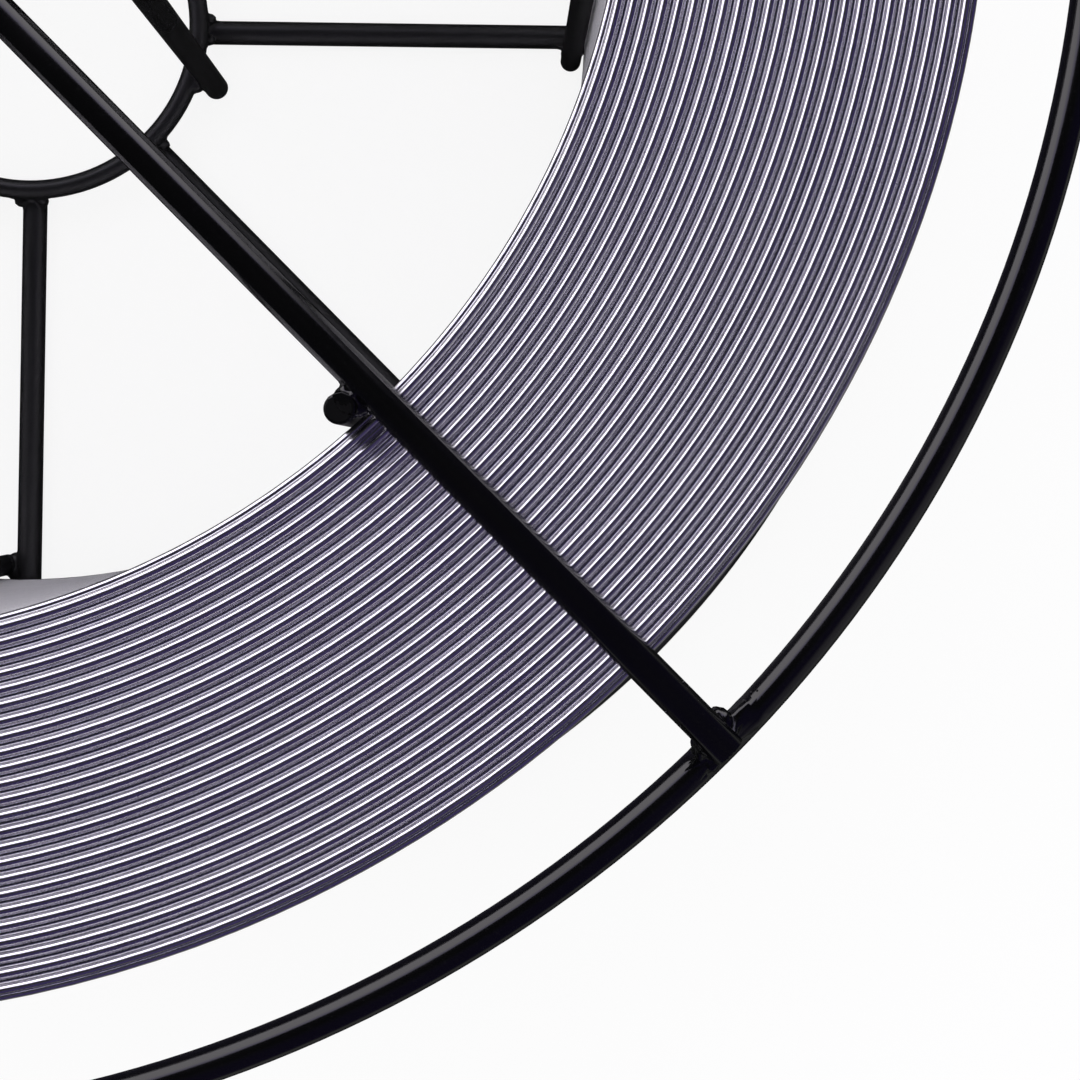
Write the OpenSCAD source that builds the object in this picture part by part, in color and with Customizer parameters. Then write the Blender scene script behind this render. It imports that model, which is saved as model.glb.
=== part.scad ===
// Wire basket spool, welded from round steel rod, filled with layer-wound aluminium welding wire.
// The spool lies on its lower flange. +Z runs along the spindle, and the origin is on the
// spindle's axis at the level of the surface that the spool lies on.

/* [Spool] */
// Diameter over the two rims
spool_d = 300; // [290:1:320]
// Width over the spokes of the two flanges
spool_w = 102; // [60:1:130]
// Spindle hole between the inner sides of a hub ring
bore_d = 53; // [50.5:0.1:56]
// Spokes in each flange, with one barrel bar beside each
spoke_count = 8; // [4, 6, 8, 12]

/* [Rods] */
// Rod of the rims
rim_rod_d = 4; // [3:0.1:5]
// Rod of the spokes
spoke_rod_d = 4; // [3:0.1:5]
// Rod of the barrel bars
barrel_rod_d = 3.5; // [2.5:0.1:4.5]
// Rod of the hub rings
hub_rod_d = 3.2; // [2.5:0.1:4]
// Rod of the hub bars
hub_bar_d = 4; // [3:0.1:5]
// Gap left for the weld between two crossing rods
weld_gap = 0.05; // [0.02:0.01:0.2]
// Gap left for the weld bead between a spoke and the barrel bar beside it
bead_gap = 0.2; // [0.1:0.05:0.5]
// How far a spoke's inner end stands back from the spindle hole
spoke_setback = 0.8; // [0.3:0.1:2]
// How far a spoke's outer end stands back from the rim's outer side
rim_setback = 1.6; // [0.5:0.1:2]
// How far the ends of the barrel and hub bars stand back from the spool's outer sides
end_setback = 0.6; // [0.2:0.1:2]
// Rounding of the edge of a cut end
cut_round = 0.35; // [0.1:0.05:0.6]

/* [Barrel and hub] */
// Radius of the circle that the barrel bars stand on
barrel_r = 91.6; // [70:0.1:100]
// Number of hub bars
hub_bar_count = 4; // [2, 4, 8]
// Angle from a spoke to the next hub bar, clockwise from above
hub_bar_turn = 17; // [14:0.5:28]

/* [Wire] */
// Diameter of the welding wire
wire_d = 1; // [0.8:0.1:1.6]
// Spacing of the turns along the barrel, as a multiple of the wire's diameter
turn_spacing = 1.056; // [1:0.001:1.08]
// Depth of the flange that stays unfilled, from the outermost layer to the rim's outer side
unfilled = 14.5; // [8:0.5:50]
// Gap between the barrel bars and the innermost layer
coil_seat_gap = 0.25; // [0.05:0.05:0.4]
// Least gap between the coil's ends and the spokes
coil_end_gap = 0.6; // [0.3:0.1:3]
// How far neighbouring turns press into each other
turn_bite = 0.02; // [0.01:0.005:0.03]

/* [Hidden] */
$fn = 64;
spoke_step = 360 / spoke_count;
spoke_r = spoke_rod_d / 2;
rim_r = spool_d / 2 - rim_rod_d / 2;
rim_inset = spoke_rod_d + weld_gap + rim_rod_d / 2;
hub_ring_r = bore_d / 2 + hub_rod_d / 2;
hub_inset = spoke_rod_d + weld_gap + hub_rod_d / 2;
hub_bar_r = hub_ring_r + (hub_rod_d + hub_bar_d) / 2 + weld_gap;
spoke_in_r = bore_d / 2 + spoke_setback;
spoke_out_r = spool_d / 2 - rim_setback;
bar_turn = asin((spoke_r + bead_gap + barrel_rod_d / 2) / barrel_r);
bar_len = spool_w - 2 * end_setback;

// Few sides, because a coil has so many turns. The neighbours meet at corners, 60 degrees apart.
wire_sides = 12;

// The wire lies in the grooves of the layer below, so a layer rises by less than its diameter,
// and every second layer, from the innermost, stands back from the coil's ends by half a turn.
turn_pitch = wire_d * turn_spacing;
layer_rise = sqrt(pow(wire_d, 2) - pow(turn_pitch / 2, 2));
coil_in_r = barrel_r + barrel_rod_d / 2 + coil_seat_gap;
inner_turn_r = coil_in_r + wire_d / 2;
coil_space = spool_w - 2 * (spoke_rod_d + coil_end_gap);
layer_count = floor((spool_d / 2 - unfilled - coil_in_r - wire_d) / layer_rise) + 1;
turns_per_layer = floor((coil_space - wire_d) / turn_pitch) + 1;
coil_w = (turns_per_layer - 1) * turn_pitch + wire_d;
coil_out_r = inner_turn_r + (layer_count - 1) * layer_rise + wire_d / 2;
core_setback = wire_d / 2 + turn_pitch / 4;

function numbered(name, count) = [for (i = [1:count]) str(name, "_", i)];

// A straight piece of rod from z = 0 upwards, with the edges of its cut ends rounded
module rod(d, len)
    rotate_extrude() {
        square([d / 2 - cut_round, len]);
        translate([0, cut_round]) square([d / 2, len - 2 * cut_round]);
        for (z = [cut_round, len - cut_round])
            translate([d / 2 - cut_round, z]) circle(r = cut_round, $fn = 32);
    }

// A rod bent and butt-welded into a ring, at height z
module ring(r, rod_d, z) {
    translate([0, 0, z])
        rotate_extrude() translate([r, 0]) circle(d = rod_d);
}

module rim(z) color("#141416") ring(rim_r, rim_rod_d, z);

module hub_ring(z) color("#1c1c1f") ring(hub_ring_r, hub_rod_d, z);

// The first spoke points along +X and the others follow counterclockwise from above
module spoke(i, z)
    color("#18181a")
        rotate(i * spoke_step)
            translate([spoke_in_r, 0, z])
                rotate([0, 90, 0]) rod(spoke_rod_d, spoke_out_r - spoke_in_r);

// Each barrel bar stands beside its spokes, on their clockwise side
module barrel_bar(i)
    color("#18181a")
        rotate(i * spoke_step - bar_turn)
            translate([barrel_r, 0, end_setback]) rod(barrel_rod_d, bar_len);

module hub_bar(i)
    color("#1c1c1f")
        rotate(i * 360 / hub_bar_count - hub_bar_turn)
            translate([hub_bar_r, 0, end_setback]) rod(hub_bar_d, bar_len);

// Section of the coil: a core, with the outermost turn of each layer standing out at both ends
module coil_section() {
    translate([coil_in_r, core_setback - coil_w / 2])
        square([coil_out_r - coil_in_r, coil_w - 2 * core_setback]);
    for (layer = [0:layer_count - 1], side = [-1, 1]) {
        step_back = layer % 2 == 0 ? turn_pitch / 2 : 0;
        translate([
            inner_turn_r + layer * layer_rise,
            side * (coil_w / 2 - wire_d / 2 - step_back),
        ])
            circle(d = wire_d + turn_bite, $fn = wire_sides);
    }
}

module wire_coil()
    color("#c9cad2")
        translate([0, 0, spool_w / 2]) rotate_extrude($fn = 180) coil_section();

wire_coil();
rim(spool_w - rim_inset);  // upper_rim
rim(rim_inset);  // lower_rim
hub_ring(spool_w - hub_inset);  // upper_hub_ring
hub_ring(hub_inset);  // lower_hub_ring
for (i = [1:spoke_count]) {
    spoke(i - 1, spool_w - spoke_r);
    spoke(i - 1, spoke_r);
    barrel_bar(i - 1);
}
for (i = [1:hub_bar_count])
    hub_bar(i - 1);
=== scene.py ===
"""Wire basket spool filled with bright aluminium welding wire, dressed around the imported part."""

import math

import bpy
import numpy as np
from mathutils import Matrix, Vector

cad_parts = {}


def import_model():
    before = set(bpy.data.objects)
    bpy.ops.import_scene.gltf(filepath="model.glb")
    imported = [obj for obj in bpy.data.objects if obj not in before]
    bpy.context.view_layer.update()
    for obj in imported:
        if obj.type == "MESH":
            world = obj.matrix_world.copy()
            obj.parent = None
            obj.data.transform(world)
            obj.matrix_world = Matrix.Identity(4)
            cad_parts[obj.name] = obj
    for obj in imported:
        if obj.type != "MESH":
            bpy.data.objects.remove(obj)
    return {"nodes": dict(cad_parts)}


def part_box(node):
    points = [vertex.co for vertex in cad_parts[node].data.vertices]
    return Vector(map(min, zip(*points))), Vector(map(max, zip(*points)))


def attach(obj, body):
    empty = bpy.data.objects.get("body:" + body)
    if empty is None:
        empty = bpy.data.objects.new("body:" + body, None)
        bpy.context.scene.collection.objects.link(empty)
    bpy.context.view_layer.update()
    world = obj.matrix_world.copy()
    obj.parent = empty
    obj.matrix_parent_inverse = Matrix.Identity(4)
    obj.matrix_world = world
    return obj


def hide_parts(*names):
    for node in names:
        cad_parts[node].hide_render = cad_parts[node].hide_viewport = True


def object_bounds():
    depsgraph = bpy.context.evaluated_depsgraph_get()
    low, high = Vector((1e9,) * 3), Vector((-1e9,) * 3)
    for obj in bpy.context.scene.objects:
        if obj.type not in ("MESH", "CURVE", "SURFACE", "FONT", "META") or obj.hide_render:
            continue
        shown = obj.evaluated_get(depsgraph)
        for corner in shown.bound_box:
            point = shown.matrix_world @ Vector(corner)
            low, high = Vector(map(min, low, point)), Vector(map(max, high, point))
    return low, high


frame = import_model()
cad_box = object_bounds()

MM = 0.001
TAU = 2 * math.pi
WHITE = (1, 1, 1, 1)

# Driving values of the part, in metres
WIRE_R = 0.5 * MM
TURN_PITCH = 1.056 * MM
SPOKE_R = 2 * MM
RIM_ROD_R = 2 * MM
HUB_ROD_R = 1.6 * MM
HUB_BAR_R = 2 * MM
BARREL_ROD_R = 1.75 * MM
BARREL_R = 91.6 * MM
COIL_IN_R = 93.6 * MM
LAYERS = 49
TURNS = 87
SPOKES = 8
HUB_BARS = 4
HUB_BAR_TURN = math.radians(17)
WELD_GAP = 0.05 * MM
BEAD_GAP = 0.2 * MM

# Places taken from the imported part
coil_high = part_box("wire_coil")[1]
rim_low, rim_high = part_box("upper_rim")
hub_low, hub_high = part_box("upper_hub_ring")
spoke_low, spoke_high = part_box("upper_spoke_1")
TOP_Z = cad_box[1][2]
MID_Z = TOP_Z / 2
OUT_R = cad_box[1][0]
RIM_R = rim_high.x - RIM_ROD_R
RIM_Z = (rim_low.z + rim_high.z) / 2
HUB_R = hub_high.x - HUB_ROD_R
HUB_Z = (hub_low.z + hub_high.z) / 2
SPOKE_Z = (spoke_low.z + spoke_high.z) / 2
SPOKE_IN_R = spoke_low.x
SPOKE_OUT_R = spoke_high.x
BAR_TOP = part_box("barrel_bar_1")[1].z
BAR_TURN = math.asin((SPOKE_R + BEAD_GAP + BARREL_ROD_R) / BARREL_R)
LAYER_RISE = math.sqrt((2 * WIRE_R) ** 2 - (TURN_PITCH / 2) ** 2)
INNER_TURN_R = COIL_IN_R + WIRE_R
END_Z = coil_high.z - WIRE_R


# ---------------------------------------------------------------- node materials

class Nodes:
    """The node tree of a material or world, with one short call for each node and its inputs."""

    def __init__(self, owner):
        owner.use_nodes = True
        self.tree = owner.node_tree
        self.tree.nodes.clear()

    def add(self, kind, props=None, **inputs):
        """A node with its properties and inputs. The input i0 is the node's first one."""
        node = self.tree.nodes.new(kind)
        for key, value in (props or {}).items():
            setattr(node, key, value)
        for key, value in inputs.items():
            self.set(node, key.replace("_", " "), value)
        return node

    def set(self, node, key, value):
        sockets = {s.name: s for s in node.inputs if s.enabled}
        socket = node.inputs[int(key[1:])] if key[0] == "i" and key[1:].isdigit() else sockets[key]
        if isinstance(value, bpy.types.NodeSocket):
            self.tree.links.new(value, socket)
        else:
            socket.default_value = value

    def math(self, operation, a, b=0.0):
        return self.add("ShaderNodeMath", {"operation": operation}, i0=a, i1=b).outputs[0]

    def weighted(self, a, share_a, b, share_b):
        return self.math("ADD", self.math("MULTIPLY", a, share_a), self.math("MULTIPLY", b, share_b))

    def ramp(self, value, low, high, out_low=0.0, out_high=1.0):
        node = self.add("ShaderNodeMapRange", {"clamp": True}, Value=value)
        for index, v in zip((1, 2, 3, 4), (low, high, out_low, out_high)):
            node.inputs[index].default_value = v
        return node.outputs[0]

    def noise(self, vector, scale, detail=2.0, roughness=0.5):
        return self.add("ShaderNodeTexNoise", {}, Vector=vector, Scale=scale, Detail=detail,
                        Roughness=roughness).outputs[0]

    def mix_color(self, factor, a, b):
        return self.add("ShaderNodeMix", {"data_type": "RGBA"}, i0=factor, i6=a, i7=b).outputs[2]

    def position(self):
        return self.add("ShaderNodeTexCoord").outputs["Object"]

    def bump(self, height, distance, strength):
        return self.add("ShaderNodeBump", {}, Strength=strength, Distance=distance,
                        Height=height).outputs[0]

    def output(self, kind, surface):
        self.tree.links.new(surface, self.add(kind).inputs["Surface"])


# The range that most of a noise lies in
NOISE_RANGE = (0.3, 0.7)

# Drawn wire. A texture along the wire has a fineness across it, per metre, and along it, per radian.
DIE_MARKS = (9000.0, 14.0)
TURN_DRIFT = (640.0, 3.0)
SPECKS = 5200.0
SPECK_RANGE = (0.35, 0.75)
WIRE_DARK = (0.84, 0.83, 0.87, 1)
WIRE_LIGHT = (0.93, 0.92, 0.94, 1)
WIRE_ROUGH = (0.11, 0.25)
DRIFT_ROUGH = (-0.02, 0.03)
WIRE_RELIEF = 0.012 * MM
# How far from the coil's ends the wire against the barrel is still bright, and from where it is dull
BRIGHT_END = 1.5 * MM
DULL_FROM = 1.8 * MM
DULL_METALLIC = 0.15

# Black enamel. The textures' fineness is per metre.
PEEL = 420.0
DUST = 2600.0
PATCHES = 60.0
ENAMEL = (0.0012, 0.0012, 0.0014, 1)
DUSTY_ENAMEL = (0.006, 0.006, 0.0065, 1)
# The lighter grey that the enamel takes in patches low down on the spool
LOW_DOWN_GREY = (0.014, 0.014, 0.015, 1)
ENAMEL_ROUGH = (0.10, 0.17)
ENAMEL_RELIEF = 0.04 * MM
# Two values of the dust's noise, and what it gives at them: roughness in the film, and the cover of the
# lighter grey low down
DUST_IN_FILM = (0.62, 0.80)
DUST_ROUGH = (0.6, 0.8, 0.0, 0.12)
LOW_DOWN_COVER = (0.2, 0.7, 0.5, 1.0)
# Heights between which the enamel goes from lighter grey and rougher to plain, and the roughness that is
# added below them
LIGHTEST_BELOW = 20 * MM
PLAIN_ABOVE = 80 * MM
LOW_DOWN_ROUGH = 0.25


def wire_material(name, dull_inside=False):
    """Bright drawn aluminium: die marks along the wire, fine specks, and turns that differ a little."""
    mat = bpy.data.materials.new(name)
    n = Nodes(mat)
    x, y, z = n.add("ShaderNodeSeparateXYZ", {}, Vector=n.position()).outputs
    across = n.math("SQRT", n.math("ADD", n.math("MULTIPLY", x, x), n.math("MULTIPLY", y, y)))
    around = n.math("ARCTAN2", y, x)

    def along_wire(fineness, along):
        return n.add("ShaderNodeCombineXYZ", {}, X=n.math("MULTIPLY", across, fineness),
                     Y=n.math("MULTIPLY", z, fineness), Z=n.math("MULTIPLY", around, along)).outputs[0]

    marks = n.noise(along_wire(*DIE_MARKS), 1.0, detail=3.0, roughness=0.6)
    drift = n.noise(along_wire(*TURN_DRIFT), 1.0, detail=1.0)
    specks = n.noise(n.position(), SPECKS, detail=3.0, roughness=0.65)
    shade = n.weighted(marks, 0.6, drift, 0.4)
    color = n.mix_color(n.ramp(shade, *NOISE_RANGE), WIRE_DARK, WIRE_LIGHT)
    rough = n.math("ADD", n.ramp(specks, *SPECK_RANGE, *WIRE_ROUGH),
                   n.ramp(drift, *NOISE_RANGE, *DRIFT_ROUGH))
    metallic = 1.0
    if dull_inside:
        from_middle = n.math("ABSOLUTE", n.math("SUBTRACT", z, MID_Z))
        from_end = n.math("SUBTRACT", coil_high.z - MID_Z, from_middle)
        metallic = n.ramp(from_end, BRIGHT_END, DULL_FROM, 1.0, DULL_METALLIC)
    relief = n.bump(n.weighted(marks, 0.7, specks, 0.3), WIRE_RELIEF, strength=0.35)
    shader = n.add("ShaderNodeBsdfPrincipled", {}, Base_Color=color, Roughness=rough, Normal=relief,
                   Metallic=metallic)
    n.output("ShaderNodeOutputMaterial", shader.outputs[0])
    return mat


def paint_material(name, duller=0.0, gloss=0.68):
    """Black enamel with a slight orange peel and dust in the film, and lighter grey patches and more
    roughness further down.
    """
    mat = bpy.data.materials.new(name)
    n = Nodes(mat)
    pos = n.position()
    height = n.add("ShaderNodeSeparateXYZ", {}, Vector=pos).outputs[2]
    # Towards the bottom the enamel turns lighter grey in patches and rougher
    low_down = n.ramp(height, LIGHTEST_BELOW, PLAIN_ABOVE, 1.0, 0.0)
    peel = n.noise(pos, PEEL)
    dust = n.noise(pos, DUST, detail=3.0, roughness=0.7)
    patch = n.noise(pos, PATCHES)
    film = n.mix_color(n.ramp(dust, *DUST_IN_FILM), ENAMEL, DUSTY_ENAMEL)
    low_grey = n.math("MULTIPLY", low_down, n.ramp(dust, *LOW_DOWN_COVER))
    color = n.mix_color(low_grey, film, LOW_DOWN_GREY)
    rough = n.math("ADD", n.ramp(patch, *NOISE_RANGE, *ENAMEL_ROUGH), n.ramp(dust, *DUST_ROUGH))
    rough = n.math("ADD", rough, n.math("ADD", n.math("MULTIPLY", low_down, LOW_DOWN_ROUGH), duller))
    relief = n.bump(n.weighted(peel, 0.8, dust, 0.2), ENAMEL_RELIEF, strength=0.25)
    shader = n.add("ShaderNodeBsdfPrincipled", {}, Base_Color=color, Roughness=rough, Normal=relief,
                   Specular_IOR_Level=gloss)
    n.output("ShaderNodeOutputMaterial", shader.outputs[0])
    return mat


WIRE = wire_material("bright_drawn_wire")
WIRE_DULL = wire_material("wire_against_the_barrel", dull_inside=True)
PAINT = paint_material("gloss_black_enamel")
PAINT_DULL = paint_material("rubbed_black_enamel", duller=0.35, gloss=0.2)


# ---------------------------------------------------------------- meshes

def mesh_object(name, verts, faces, material, replaces=(), normals=None):
    mesh = bpy.data.meshes.new(name)
    faces = faces if isinstance(faces, list) else faces.tolist()
    mesh.from_pydata(verts.reshape(-1, 3).tolist(), [], faces)
    mesh.polygons.foreach_set("use_smooth", np.ones(len(mesh.polygons), bool))
    mesh.materials.append(material)
    mesh.update()
    if normals is not None:
        mesh.normals_split_custom_set_from_vertices(normals.tolist())
    obj = bpy.data.objects.new(name, mesh)
    bpy.context.scene.collection.objects.link(obj)
    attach(obj, "root")
    if replaces:
        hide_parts(*replaces)
    return obj


def grid_faces(rows, cols, start=0):
    """Quads of a grid of points that is closed both ways."""
    i, j = np.meshgrid(np.arange(rows), np.arange(cols), indexing="ij")
    i2, j2 = (i + 1) % rows, (j + 1) % cols
    quads = np.stack([i * cols + j, i2 * cols + j, i2 * cols + j2, i * cols + j2], -1)
    return quads.reshape(-1, 4) + start


def smooth_wander(rng, angles, waves, size):
    """A slow closed wave around the circle, at most about size high."""
    total = np.zeros_like(angles)
    for wave in waves:
        total += rng.uniform(-1, 1) * np.sin(wave * angles + rng.uniform(0, TAU))
    return size * total / len(waves)


def turn_rings(name, rings, segments, sides, material, replaces, seed=0, wander=0.0):
    """Closed round tubes around the spindle's axis, one for each (radius, height, rod or wire radius)."""
    rng = np.random.default_rng(seed)
    angles = np.arange(segments) / segments * TAU
    section = np.arange(sides) / sides * TAU + math.pi / 2
    verts, faces = [], []
    for radius, height, rod_r in rings:
        out = radius + smooth_wander(rng, angles, (2, 3, 5, 9), wander)
        up = height + smooth_wander(rng, angles, (2, 4, 7), wander)
        r = out[:, None] + rod_r * np.cos(section)[None, :]
        z = up[:, None] + rod_r * np.sin(section)[None, :]
        ring = np.stack([r * np.cos(angles)[:, None], r * np.sin(angles)[:, None], z], -1)
        verts.append(ring.reshape(-1, 3))
        faces.append(grid_faces(segments, sides, len(faces) * segments * sides))
    return mesh_object(name, np.concatenate(verts), np.concatenate(faces), material, [replaces])


# ---------------------------------------------------------------- the wound wire

# How far an end turn strays from its true circle
TURN_WANDER = 0.03 * MM
# The shell of the side turns: its thickness, and the points across each of its ribs
SHELL_DEPTH = 0.3 * MM
RIB_POINTS = 5


def layer_radius(layer):
    return INNER_TURN_R + layer * LAYER_RISE


# The end turns: every second layer stands out, and those between lie half a turn deeper
for side, sign, segments, front_sides, recessed_sides in (("top", 1, 240, 16, 12),
                                                         ("bottom", -1, 180, 8, 8)):
    z_front = MID_Z + sign * (END_Z - MID_Z)
    z_recessed = z_front - sign * TURN_PITCH / 2
    for kind, first, height, sides, seed in (("front", 1, z_front, front_sides, 11),
                                             ("recessed", 0, z_recessed, recessed_sides, 12)):
        rings = [(layer_radius(layer), height, WIRE_R) for layer in range(first, LAYERS, 2)]
        turn_rings(f"turns_{side}_{kind}", rings, segments, sides, WIRE, "wire_coil",
                   seed, TURN_WANDER)


def winding_shell(name, layer, outward, segments, material):
    """The turns of one layer seen from its open side, as half-round ribs joined in the grooves."""
    count = TURNS - 1 if layer % 2 == 0 else TURNS
    first = MID_Z - (count - 1) * TURN_PITCH / 2
    angles = np.arange(segments) / segments * TAU
    radii, heights = [], []
    for turn in range(count):
        for step in range(RIB_POINTS):
            a = (step / RIB_POINTS - 0.5) * math.pi
            radii.append(layer_radius(layer) + outward * WIRE_R * math.cos(a))
            heights.append(first + turn * TURN_PITCH + WIRE_R * math.sin(a))
    radii.append(layer_radius(layer))
    heights.append(first + (count - 1) * TURN_PITCH + WIRE_R)
    # The back of the shell, which closes it
    radii += [radii[-1] - outward * SHELL_DEPTH, radii[0] - outward * SHELL_DEPTH]
    heights += [heights[-1], heights[0]]
    r, z = np.array(radii), np.array(heights)
    verts = np.stack([r[None] * np.cos(angles)[:, None], r[None] * np.sin(angles)[:, None],
                      np.broadcast_to(z, (segments, len(z)))], -1)
    faces = grid_faces(segments, len(z))
    if outward < 0:
        faces = faces[:, ::-1]
    return mesh_object(name, verts, faces, material, ["wire_coil"])


winding_shell("windings_outer", layer=LAYERS - 1, outward=1, segments=180, material=WIRE)
winding_shell("windings_inner", layer=0, outward=-1, segments=144, material=WIRE_DULL)


# ---------------------------------------------------------------- the basket

# Name, node, radius, height, rod radius, segments and sides of each ring
for name, node, radius, height, rod_r, segments, sides in (
    ("rim_top", "upper_rim", RIM_R, RIM_Z, RIM_ROD_R, 320, 32),
    ("rim_bottom", "lower_rim", RIM_R, TOP_Z - RIM_Z, RIM_ROD_R, 320, 24),
    ("hub_ring_top", "upper_hub_ring", HUB_R, HUB_Z, HUB_ROD_R, 128, 24),
    ("hub_ring_bottom", "lower_hub_ring", HUB_R, TOP_Z - HUB_Z, HUB_ROD_R, 128, 24),
):
    turn_rings(name, [(radius, height, rod_r)], segments, sides, PAINT, node)


def node_material(name):
    if name == "wire_coil":
        return WIRE
    return PAINT_DULL if name.startswith("barrel_bar") else PAINT


for name, node in frame["nodes"].items():
    node.data.materials.clear()
    node.data.materials.append(node_material(name))


# ---------------------------------------------------------------- the welds

# Share of a weld's reach over which the filler thins out, and how deep it ends under the rods' skins
THINNING = 0.3
UNDER_SKIN = 0.05 * MM
# How far a bead flows into what it touches, divided by its bluntness
BEAD_FLOW = 1.4 * MM
# How much the beads differ in place and size from joint to joint
BEAD_SPREAD = 0.05
# Ripples in the filler: their number, height and fineness, and the filler's depth at which they are full
RIPPLES = 8
RIPPLE_HEIGHT = 0.022 * MM
RIPPLE_FINENESS = 3.0 / MM
RIPPLE_DEPTH = 0.25 * MM
# The search for the outline: coarse steps inwards, halvings of the last one, and the step for its slope
COARSE_STEPS = 48
HALVINGS = 9
SLOPE_STEP = 0.02 * MM

# Beads of filler, seen from the joint, in millimetres: place outwards, around and up, the three half
# sizes, and the bluntness, which is 2 for an ellipsoid, more for a boxy bead and less for a pointed one
RIM_BEADS = [(-1.6, 1.5, -0.7, 2.4, 1.45, 1.3, 2.6), (-0.45, 3.9, -1.3, 1.6, 1.8, 1.4, 6.0),
             (-1.6, -1.6, -0.5, 1.5, 1.3, 1.5, 1.7), (-0.4, -2.1, -1.3, 1.55, 1.15, 1.4, 6.0)]
HUB_BEADS = [(1.6, 1.8, -0.1, 1.0, 0.9, 1.2, 2.5), (1.6, -1.8, -0.1, 1.0, 0.9, 1.2, 2.5),
             (-0.6, 1.9, -0.3, 0.8, 0.8, 1.1, 2.5), (-0.6, -1.9, -0.3, 0.8, 0.8, 1.1, 2.5)]
BAR_BEADS = [(-0.8, -0.35, 0.0, 1.05, 0.9, 1.0, 2.5), (1.1, -0.3, -0.2, 1.2, 0.9, 1.0, 2.5)]
HUB_BAR_BEADS = [(-0.1, 1.5, 0.1, 0.9, 1.0, 1.2, 2.5), (-0.1, -1.5, 0.1, 0.9, 1.0, 1.2, 2.5)]


def on_circle(radius, angle, height):
    return (radius * math.cos(angle), radius * math.sin(angle), height)


def ring_distance(p, radius, height, rod_r):
    return np.hypot(np.hypot(p[:, 0], p[:, 1]) - radius, p[:, 2] - height) - rod_r


def rod_distance(p, start, end, rod_r):
    """Distance to a straight rod with square ends, below zero inside it."""
    start, end = np.array(start), np.array(end)
    length = np.linalg.norm(end - start)
    axis = (end - start) / length
    along = (p - start) @ axis
    side = np.linalg.norm(p - start - along[:, None] * axis, axis=1) - rod_r
    past = np.abs(along - length / 2) - length / 2
    return np.minimum(np.maximum(side, past), 0) + np.hypot(np.maximum(side, 0), np.maximum(past, 0))


def rim(p):
    return ring_distance(p, RIM_R, RIM_Z, RIM_ROD_R)


def hub_ring(p):
    return ring_distance(p, HUB_R, HUB_Z, HUB_ROD_R)


def spoke(angle):
    start, end = on_circle(SPOKE_IN_R, angle, SPOKE_Z), on_circle(SPOKE_OUT_R, angle, SPOKE_Z)
    return lambda p: rod_distance(p, start, end, SPOKE_R)


def bar(radius, angle, rod_r):
    start, end = on_circle(radius, angle, 0), on_circle(radius, angle, BAR_TOP)
    return lambda p: rod_distance(p, start, end, rod_r)


def ball_grid(rows, cols):
    """Directions and faces of a globe, with its poles up and down."""
    lat = np.arange(1, rows) / rows * math.pi
    lon = np.arange(cols) / cols * TAU
    dirs = np.stack([np.sin(lat)[:, None] * np.cos(lon), np.sin(lat)[:, None] * np.sin(lon),
                     np.broadcast_to(np.cos(lat)[:, None], (rows - 1, cols))], -1).reshape(-1, 3)
    dirs = np.concatenate([dirs, [[0, 0, 1], [0, 0, -1]]])
    top, bottom = len(dirs) - 2, len(dirs) - 1
    faces = []
    for i in range(rows - 2):
        for j in range(cols):
            k = (j + 1) % cols
            faces.append((i * cols + j, (i + 1) * cols + j, (i + 1) * cols + k, i * cols + k))
    last = (rows - 2) * cols
    for j in range(cols):
        k = (j + 1) % cols
        faces += [(top, j, k), (bottom, last + k, last + j)]
    return dirs, faces


def globe_faces(globe, start, turned_over):
    """The globe's faces for points that begin at start, turned over for a mirror image."""
    return [tuple(start + v for v in (face[::-1] if turned_over else face)) for face in globe]


def flow(a, b, k):
    """The smaller of two distances, rounded over where they are within k of each other."""
    return np.minimum(a, b) - np.maximum(k - np.abs(a - b), 0) ** 2 / (4 * k)


def bead_distance(p, bead):
    """About the distance to a bead."""
    half, bluntness = bead[3:6], bead[6]
    size = (np.abs((p - bead[:3]) / half) ** bluntness).sum(1) ** (1 / bluntness)
    return (size - 1) * half.min()


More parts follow.
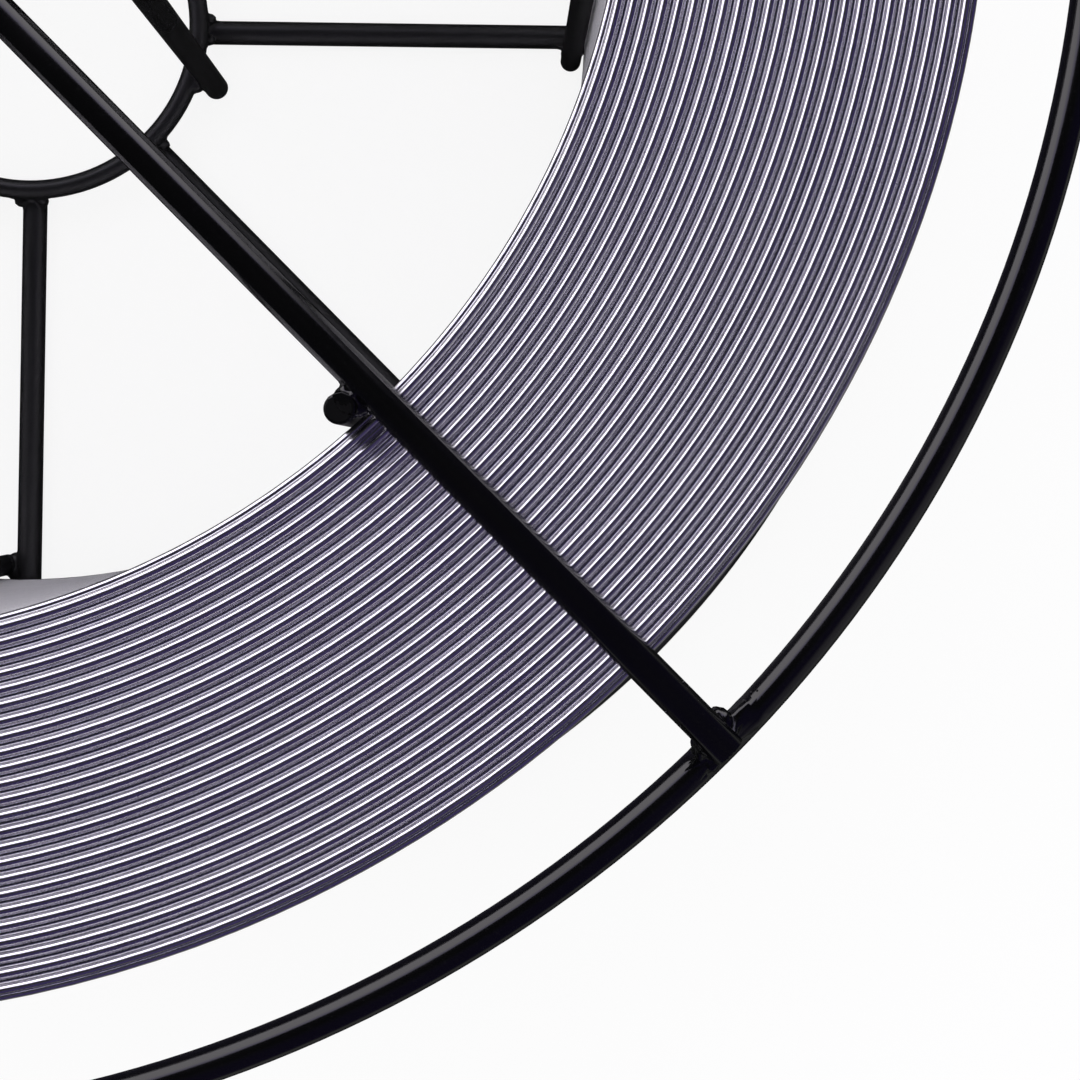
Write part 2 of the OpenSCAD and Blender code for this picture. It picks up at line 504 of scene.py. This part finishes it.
def weld(center, turn, rods, blend, reach, beads, rng, dirs):
    """Filler run into the corners between two touching rods, as points around the joint and their normals.

    The rods and the beads flow into each other near the centre and dive under the rods' skins further out.
    """
    center = np.array(center)
    local = np.array([[math.cos(turn), math.sin(turn), 0], [-math.sin(turn), math.cos(turn), 0], [0, 0, 1]])
    waves = rng.normal(size=(RIPPLES, 3)) * RIPPLE_FINENESS
    phases = rng.uniform(0, TAU, RIPPLES)
    beads = [np.append(np.array(bead[:6]) * MM * rng.normal(1, BEAD_SPREAD, 6), bead[6]) for bead in beads]

    def outline(p):
        away = p - center
        near = np.clip((1 - np.linalg.norm(away, axis=1) / reach) / THINNING, 0, 1)
        near = near * near * (3 - 2 * near)
        a, b = (rod(p) for rod in rods)
        bare = np.minimum(a, b)
        d = flow(a, b, blend)
        mine = away @ local.T
        for bead in beads:
            d = flow(d, bead_distance(mine, bead), BEAD_FLOW / bead[6])
        filler = np.clip((bare - d) / RIPPLE_DEPTH, 0, 1)
        d = d - RIPPLE_HEIGHT * filler * np.sin(p @ waves.T + phases).sum(1)
        return near * d + (1 - near) * (bare + UNDER_SKIN)

    # The outermost crossing of the outline along each direction
    far = np.full(len(dirs), reach)
    found = np.zeros(len(dirs), bool)
    for step in range(COARSE_STEPS):
        t = reach * (1 - step / COARSE_STEPS)
        inside = outline(center + dirs * t) < 0
        far = np.where(~found & inside, t, far)
        found |= inside
    low, high = far, np.minimum(far + reach / COARSE_STEPS, reach)
    for _ in range(HALVINGS):
        mid = (low + high) / 2
        inside = outline(center + dirs * mid[:, None]) < 0
        low, high = np.where(inside, mid, low), np.where(inside, high, mid)
    points = center + dirs * low[:, None]
    slope = np.stack([outline(points + SLOPE_STEP * axis) - outline(points - SLOPE_STEP * axis)
                      for axis in np.eye(3)], -1)
    slope /= np.linalg.norm(slope, axis=1, keepdims=True) + 1e-12
    return points, slope


def weld_set(name, joints, below, rows, cols, seed):
    """All joints of one kind in one flange. The lower flange is the upper one's mirror image."""
    rng = np.random.default_rng(seed)
    dirs, globe = ball_grid(rows, cols)
    verts, normals, faces = [], [], []
    for joint in joints:
        points, slopes = weld(rng=rng, dirs=dirs, **joint)
        # A weld stays within the spool's own outline
        points[:, :2] *= np.minimum(1, OUT_R / np.hypot(points[:, 0], points[:, 1]))[:, None]
        points[:, 2] = np.minimum(points[:, 2], TOP_Z)
        if below:
            points[:, 2] = TOP_Z - points[:, 2]
            slopes[:, 2] *= -1
        faces += globe_faces(globe, len(verts) * len(dirs), below)
        verts.append(points)
        normals.append(slopes)
    return mesh_object(name, np.concatenate(verts), faces, PAINT, normals=np.concatenate(normals))


def rim_joint(angle):
    return dict(center=on_circle(RIM_R, angle, RIM_Z + RIM_ROD_R + WELD_GAP / 2), turn=angle,
                rods=(rim, spoke(angle)), blend=1.4 * MM, reach=8.2 * MM, beads=RIM_BEADS)


def hub_joint(angle):
    return dict(center=on_circle(HUB_R, angle, HUB_Z + HUB_ROD_R + WELD_GAP / 2), turn=angle,
                rods=(hub_ring, spoke(angle)), blend=1.3 * MM, reach=4.8 * MM, beads=HUB_BEADS)


def bar_joint(angle):
    """A barrel bar beside its spoke, a little below the spoke's middle."""
    touch = (SPOKE_R + BEAD_GAP / 2) / BARREL_R
    return dict(center=on_circle(BARREL_R, angle - touch, SPOKE_Z - 0.1 * MM), turn=angle,
                rods=(bar(BARREL_R, angle - BAR_TURN, BARREL_ROD_R), spoke(angle)),
                blend=0.9 * MM, reach=3.9 * MM, beads=BAR_BEADS)


def hub_bar_joint(angle):
    touch_r = HUB_R + HUB_ROD_R + WELD_GAP / 2
    return dict(center=on_circle(touch_r, angle, HUB_Z), turn=angle,
                rods=(hub_ring, bar(touch_r + WELD_GAP / 2 + HUB_BAR_R, angle, HUB_BAR_R)),
                blend=1.5 * MM, reach=4.4 * MM, beads=HUB_BAR_BEADS)


spoke_angles = [i * TAU / SPOKES for i in range(SPOKES)]
hub_bar_angles = [i * TAU / HUB_BARS - HUB_BAR_TURN for i in range(HUB_BARS)]
# The globes around the joints have fewer rows and columns on the lower flange, and more on the rims
for side, below, rows, cols in (("top", False, 24, 48), ("bottom", True, 18, 36)):
    for kind, joint, angles, finer, seed in (
        ("rim", rim_joint, spoke_angles, 1.5, 41),
        ("hub", hub_joint, spoke_angles, 1, 42),
        ("barrel", bar_joint, spoke_angles, 1, 43),
        ("hub_bars", hub_bar_joint, hub_bar_angles, 1, 44),
    ):
        joints = [joint(angle) for angle in angles]
        weld_set(f"welds_{side}_{kind}", joints, below, int(rows * finer), int(cols * finer), seed)


# Drops of spatter by each rim joint: their number, radius and distance from it in millimetres, their lean
# away from straight up in radians, the share of a drop's radius by which its middle clears the rod, how
# uneven its three sizes are, and its grid
DROPS = 7
DROP_R = (0.08, 0.18)
DROP_ON_SPOKE = (3.5, 9)
DROP_ON_RIM = (4, 9)
DROP_LEAN = (0.65, 1.2)
DROP_LIFT = 0.2
DROP_STRETCH = (0.8, 1.2)
DROP_GRID = (5, 8)


def spatter(name, below, seed):
    """Small drops of filler that stuck to the rods around the rims' welds."""
    rng = np.random.default_rng(seed)
    dirs, globe = ball_grid(*DROP_GRID)
    verts, faces = [], []
    up = np.array([0, 0, 1.0])
    for angle in spoke_angles:
        out = np.array(on_circle(1, angle, 0))
        around = np.array(on_circle(1, angle + TAU / 4, 0))
        for drop in range(DROPS):
            lean = rng.choice([-1, 1]) * rng.uniform(*DROP_LEAN)
            if drop % 2:
                root = out * (RIM_R - rng.uniform(*DROP_ON_SPOKE) * MM) + up * SPOKE_Z
                facing = around * math.sin(lean) + up * math.cos(lean)
                rod_r = SPOKE_R
            else:
                turned = angle + rng.choice([-1, 1]) * rng.uniform(*DROP_ON_RIM) * MM / RIM_R
                radial = np.array(on_circle(1, turned, 0))
                root = radial * RIM_R + up * RIM_Z
                facing = up * math.cos(lean) - radial * abs(math.sin(lean))
                rod_r = RIM_ROD_R
            size = rng.uniform(*DROP_R) * MM
            middle = root + facing * (rod_r + size * DROP_LIFT)
            points = middle + dirs * size * rng.uniform(*DROP_STRETCH, 3)
            if below:
                points[:, 2] = TOP_Z - points[:, 2]
            faces += globe_faces(globe, len(verts) * len(dirs), below)
            verts.append(points)
    return mesh_object(name, np.concatenate(verts), faces, PAINT)


spatter("spatter_top", False, 51)
spatter("spatter_bottom", True, 52)


# ---------------------------------------------------------------- studio

FLOOR_R = 0.9
FLOOR_SIDES = 64
# The floor's glow and tone for the camera, its tone for mirrored rays, two distances from the spindle with
# its glow for mirrored rays at them, and its tone for all other rays
SEEN_GLOW = 0.88
SEEN_TONE = 0.13
MIRRORED_TONE = 0.02
MIRRORED_GLOW = (0.24, 0.5, 0.01, 0.22)
FLOOR_TONE = 0.8

# Sides of the light and the window, as azimuths in degrees. An upper edge is the tangent of its angle from
# straight up, and softnesses are those of the upper edge and of the sides. The tint lies along the light's
# upper edge and ends at an edge of its own.
LIGHT_SIDES = (56.5, 178)
LIGHT_EDGE = 0.70
LIGHT_SOFTNESS = (0.025, 0.075)
LIGHT = (1.88, 1.81, 1.91, 1)
LIGHT_TINT = (1.28, 1.20, 1.62, 1)
LIGHT_TINT_EDGE = 1.0
LIGHT_TINT_SOFTNESS = 0.08
WINDOW_SIDES = (-45, -14)
WINDOW_EDGE = 1.25
WINDOW_SOFTNESS = (0.30, 0.14)
WINDOW = (0.24, 0.23, 0.26, 1)

# The dark room that mirrored rays see, violet towards one side, and the plain light of all other rays
DARK_GREY = (0.013, 0.013, 0.015, 1)
DARK_VIOLET = (0.028, 0.019, 0.078, 1)
VIOLET_AZIMUTH = -45
VIOLET_EDGE = 0.2
VIOLET_SOFTNESS = 0.25
HORIZON = (0.09, 0.09, 0.10, 1)
HORIZON_RISE = 0.05
AMBIENT = (0.85, 0.85, 0.85, 1)

# The camera looks down at a quarter of the upper flange
CAMERA_AT = (79.116 * MM, -72.624 * MM, 275.669 * MM)
CAMERA_TURN = (0.033, -0.0273, 0.006)
CAMERA_LENS = 53.14
CAMERA_SENSOR = 36
CAMERA_SHIFT = -0.126


def floor():
    """Near white for the camera, with a faint shadow. Mirrored rays see it dark near the spool."""
    bpy.ops.mesh.primitive_circle_add(vertices=FLOOR_SIDES, radius=FLOOR_R, fill_type="NGON",
                                      location=(0, 0, 0))
    obj = bpy.context.object
    obj.name = "floor"
    mat = bpy.data.materials.new("pale_floor")
    n = Nodes(mat)
    path = n.add("ShaderNodeLightPath")
    mirrored = n.math("MAXIMUM", path.outputs["Is Glossy Ray"], path.outputs["Is Transmission Ray"])
    seen = path.outputs["Is Camera Ray"]
    far = n.add("ShaderNodeVectorMath", {"operation": "LENGTH"}, i0=n.position()).outputs["Value"]
    glow = n.weighted(seen, SEEN_GLOW, mirrored, n.ramp(far, *MIRRORED_GLOW))
    darker = n.weighted(seen, FLOOR_TONE - SEEN_TONE, mirrored, FLOOR_TONE - MIRRORED_TONE)
    tone = n.math("SUBTRACT", FLOOR_TONE, darker)
    grey = n.add("ShaderNodeCombineColor", {}, Red=tone, Green=tone, Blue=tone).outputs[0]
    lit = n.add("ShaderNodeBsdfDiffuse", {}, Color=grey)
    shine = n.add("ShaderNodeEmission", {}, Color=WHITE, Strength=glow)
    both = n.add("ShaderNodeAddShader", {}, i0=lit.outputs[0], i1=shine.outputs[0])
    n.output("ShaderNodeOutputMaterial", both.outputs[0])
    obj.data.materials.append(mat)


def world():
    """White for the camera, a dark room for mirrored rays, and plain light for all others.

    Mirrored and other rays both see one big soft light and a dim window, which are directions only.
    """
    studio = bpy.data.worlds.new("studio")
    bpy.context.scene.world = studio
    n = Nodes(studio)
    path = n.add("ShaderNodeLightPath")
    ray = n.add("ShaderNodeTexCoord").outputs["Generated"]
    up = n.add("ShaderNodeSeparateXYZ", {}, Vector=ray).outputs[2]

    def beyond(azimuth, slope, softness):
        """1 on the far side of a plane through the object that faces the azimuth and leans by the slope."""
        a = math.radians(azimuth)
        facing = n.add("ShaderNodeVectorMath", {"operation": "DOT_PRODUCT"},
                       i0=ray, i1=(math.cos(a), math.sin(a), slope)).outputs["Value"]
        return n.ramp(facing, -softness, softness)

    def sector(sides, edge, softness):
        """1 between two azimuths and below an upper edge, which is straight and faces the middle."""
        first, last = sides
        edge_softness, side_softness = softness
        below_edge = beyond((first + last) / 2, -edge, edge_softness)
        between = n.math("MULTIPLY", beyond(first + 90, 0, side_softness),
                         beyond(last - 90, 0, side_softness))
        return n.math("MULTIPLY", below_edge, between)

    ceiling = n.mix_color(beyond(VIOLET_AZIMUTH, -VIOLET_EDGE, VIOLET_SOFTNESS), DARK_GREY, DARK_VIOLET)
    dark = n.mix_color(n.ramp(up, 0.0, HORIZON_RISE), HORIZON, ceiling)
    room = n.mix_color(path.outputs["Is Glossy Ray"], AMBIENT, dark)
    past_tint = beyond(sum(LIGHT_SIDES) / 2, -LIGHT_TINT_EDGE, LIGHT_TINT_SOFTNESS)
    room = n.mix_color(sector(LIGHT_SIDES, LIGHT_EDGE, LIGHT_SOFTNESS), room,
                       n.mix_color(past_tint, LIGHT_TINT, LIGHT))
    room = n.mix_color(sector(WINDOW_SIDES, WINDOW_EDGE, WINDOW_SOFTNESS), room, WINDOW)
    color = n.mix_color(path.outputs["Is Camera Ray"], room, WHITE)
    back = n.add("ShaderNodeBackground", {}, Color=color, Strength=1.0)
    n.output("ShaderNodeOutputWorld", back.outputs[0])


def camera():
    data = bpy.data.cameras.new("camera")
    data.sensor_width = CAMERA_SENSOR
    data.lens = CAMERA_LENS
    data.shift_y = CAMERA_SHIFT
    data.clip_start = 0.01
    data.clip_end = 20
    obj = bpy.data.objects.new("camera", data)
    obj.location = CAMERA_AT
    obj.rotation_euler = CAMERA_TURN
    bpy.context.scene.collection.objects.link(obj)
    bpy.context.scene.camera = obj


floor()
world()
camera()
bpy.context.scene.view_settings.view_transform = "Standard"

bpy.context.view_layer.update()
